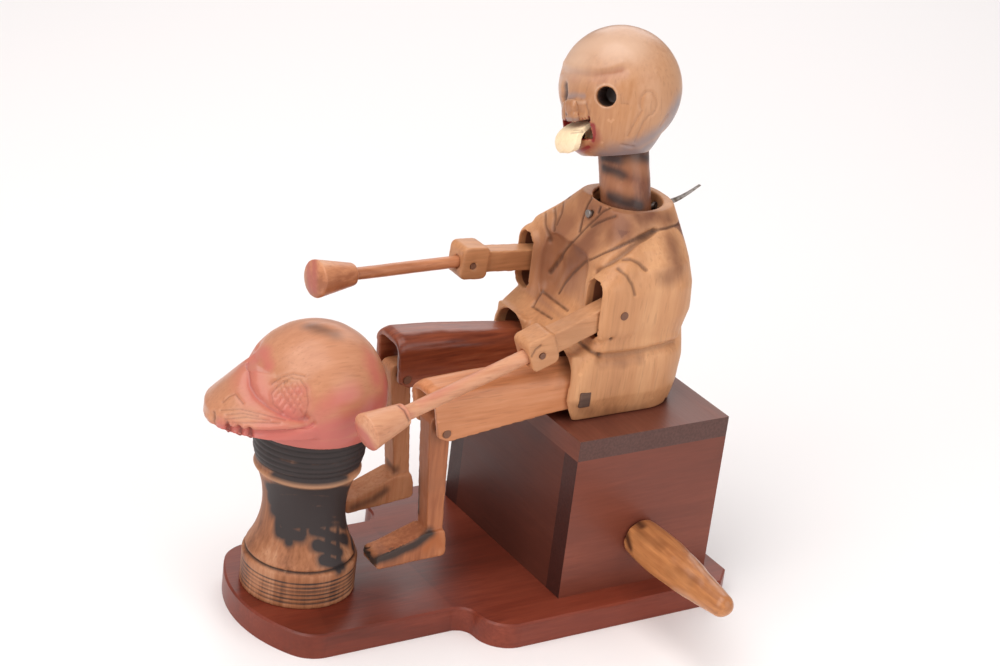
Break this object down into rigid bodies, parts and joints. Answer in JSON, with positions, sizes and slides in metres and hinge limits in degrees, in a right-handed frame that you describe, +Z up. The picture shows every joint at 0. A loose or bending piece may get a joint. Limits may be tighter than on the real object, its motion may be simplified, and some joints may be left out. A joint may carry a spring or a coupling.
{
  "type": "hand-cranked wooden automaton",
  "caption": "Hand-cranked carved toy: a seated bald figure on a crank box beats a fish-shaped temple drum with two mallets; head, tongue, arms and legs move.",
  "frame": {"origin": "middle of the base board's underside", "axes": "+Z up, the figure faces -X, the crank grip points to -Y"},
  "size_m": [0.1387, 0.1054, 0.1452],
  "materials": {
    "base_wood": "dark red-brown stain, satin",
    "lid_wood": "dark red-brown stain, grey worn end grain",
    "box_wood": "dark red-brown stain, satin",
    "peg_wood": "bare",
    "stand_wood": "turned, partly blackened by scorching",
    "drum_wood": "rubbed red paint over pale wood",
    "grip_wood": "waxed, worn",
    "wire_steel": "dull",
    "nail_steel": "tarnished",
    "robe_wood": "waxed, stained by age",
    "pin_wood": "dark, flush",
    "neck_wood": "waxed, dark stains",
    "head_wood": "polished, worn paint at the nape",
    "tongue_wood": "pale, waxed",
    "arm_wood": "waxed",
    "mallet_wood": "rubbed red face",
    "leg_wood": "red-brown stain",
    "shin_wood": "waxed, scorched foot"
  },
  "bodies": {
    "frame": {"base_board": "base_wood", "base_nails": "nail_steel", "box_lid": "lid_wood", "left_side_board": "box_wood", "right_side_board": "box_wood", "front_board": "box_wood", "back_board": "box_wood", "torso_dowels": "peg_wood", "drum_stand": "stand_wood", "stand_dowel": "peg_wood", "drum_dowel": "peg_wood", "fish_drum": "drum_wood", "torso": "robe_wood", "left_shoulder_pin": "pin_wood", "right_shoulder_pin": "pin_wood", "left_hip_pin": "pin_wood", "right_hip_pin": "nail_steel", "neck_pin": "nail_steel"},
    "crank": {"crank_grip": "grip_wood", "crankshaft": "wire_steel", "shaft_collars": "peg_wood"},
    "head_group": {"head": "head_wood", "neck_post": "neck_wood", "tongue_pin": "wire_steel"},
    "tongue_group": {"tongue": "tongue_wood"},
    "left_arm_group": {"left_arm": "arm_wood", "left_hand_pin": "pin_wood", "left_mallet": "mallet_wood"},
    "right_arm_group": {"right_arm": "arm_wood", "right_hand_pin": "pin_wood", "right_mallet": "mallet_wood"},
    "left_thigh_group": {"left_thigh": "leg_wood", "left_knee_pin": "pin_wood"},
    "right_thigh_group": {"right_thigh": "leg_wood", "right_knee_pin": "pin_wood"},
    "left_shin_group": {"left_shin": "shin_wood"},
    "right_shin_group": {"right_shin": "shin_wood"}
  },
  "joints": [
    {"name": "crank_turn", "type": "hinge", "parent": "frame", "child": "crank", "pos_m": [0.0356, -0.0296, 0.0206], "axis": [0, 1, 0], "continuous": true},
    {"name": "head_rock", "type": "hinge", "parent": "frame", "child": "head_group", "pos_m": [0.038, 0, 0.1], "axis": [1, 0, 0], "range_deg": [0, 37]},
    {"name": "tongue_swing", "type": "hinge", "parent": "head_group", "child": "tongue_group", "pos_m": [0.028, 0.00565, 0.11688], "axis": [0, 0.9483, -0.3173], "range_deg": [0, 48]},
    {"name": "left_arm_swing", "type": "hinge", "parent": "frame", "child": "left_arm_group", "pos_m": [0.0262, -0.0168, 0.081], "axis": [0, 1, 0], "range_deg": [0, 22]},
    {"name": "right_arm_swing", "type": "hinge", "parent": "frame", "child": "right_arm_group", "pos_m": [0.0262, 0.0168, 0.081], "axis": [0, 1, 0], "range_deg": [-4, 14]},
    {"name": "left_hip_swing", "type": "hinge", "parent": "frame", "child": "left_thigh_group", "pos_m": [0.0173, -0.01155, 0.0598], "axis": [0, 1, 0], "range_deg": [-6, 0]},
    {"name": "right_hip_swing", "type": "hinge", "parent": "frame", "child": "right_thigh_group", "pos_m": [0.0173, 0.01155, 0.0598], "axis": [0, 1, 0], "range_deg": [-8, 3]},
    {"name": "left_knee_swing", "type": "hinge", "parent": "left_thigh_group", "child": "left_shin_group", "pos_m": [-0.01948, -0.01155, 0.05358], "axis": [0, 1, 0], "range_deg": [-20, 0]},
    {"name": "right_knee_swing", "type": "hinge", "parent": "right_thigh_group", "child": "right_shin_group", "pos_m": [-0.01821, 0.01155, 0.05732], "axis": [0, 1, 0], "range_deg": [-20, 0]}
  ]
}
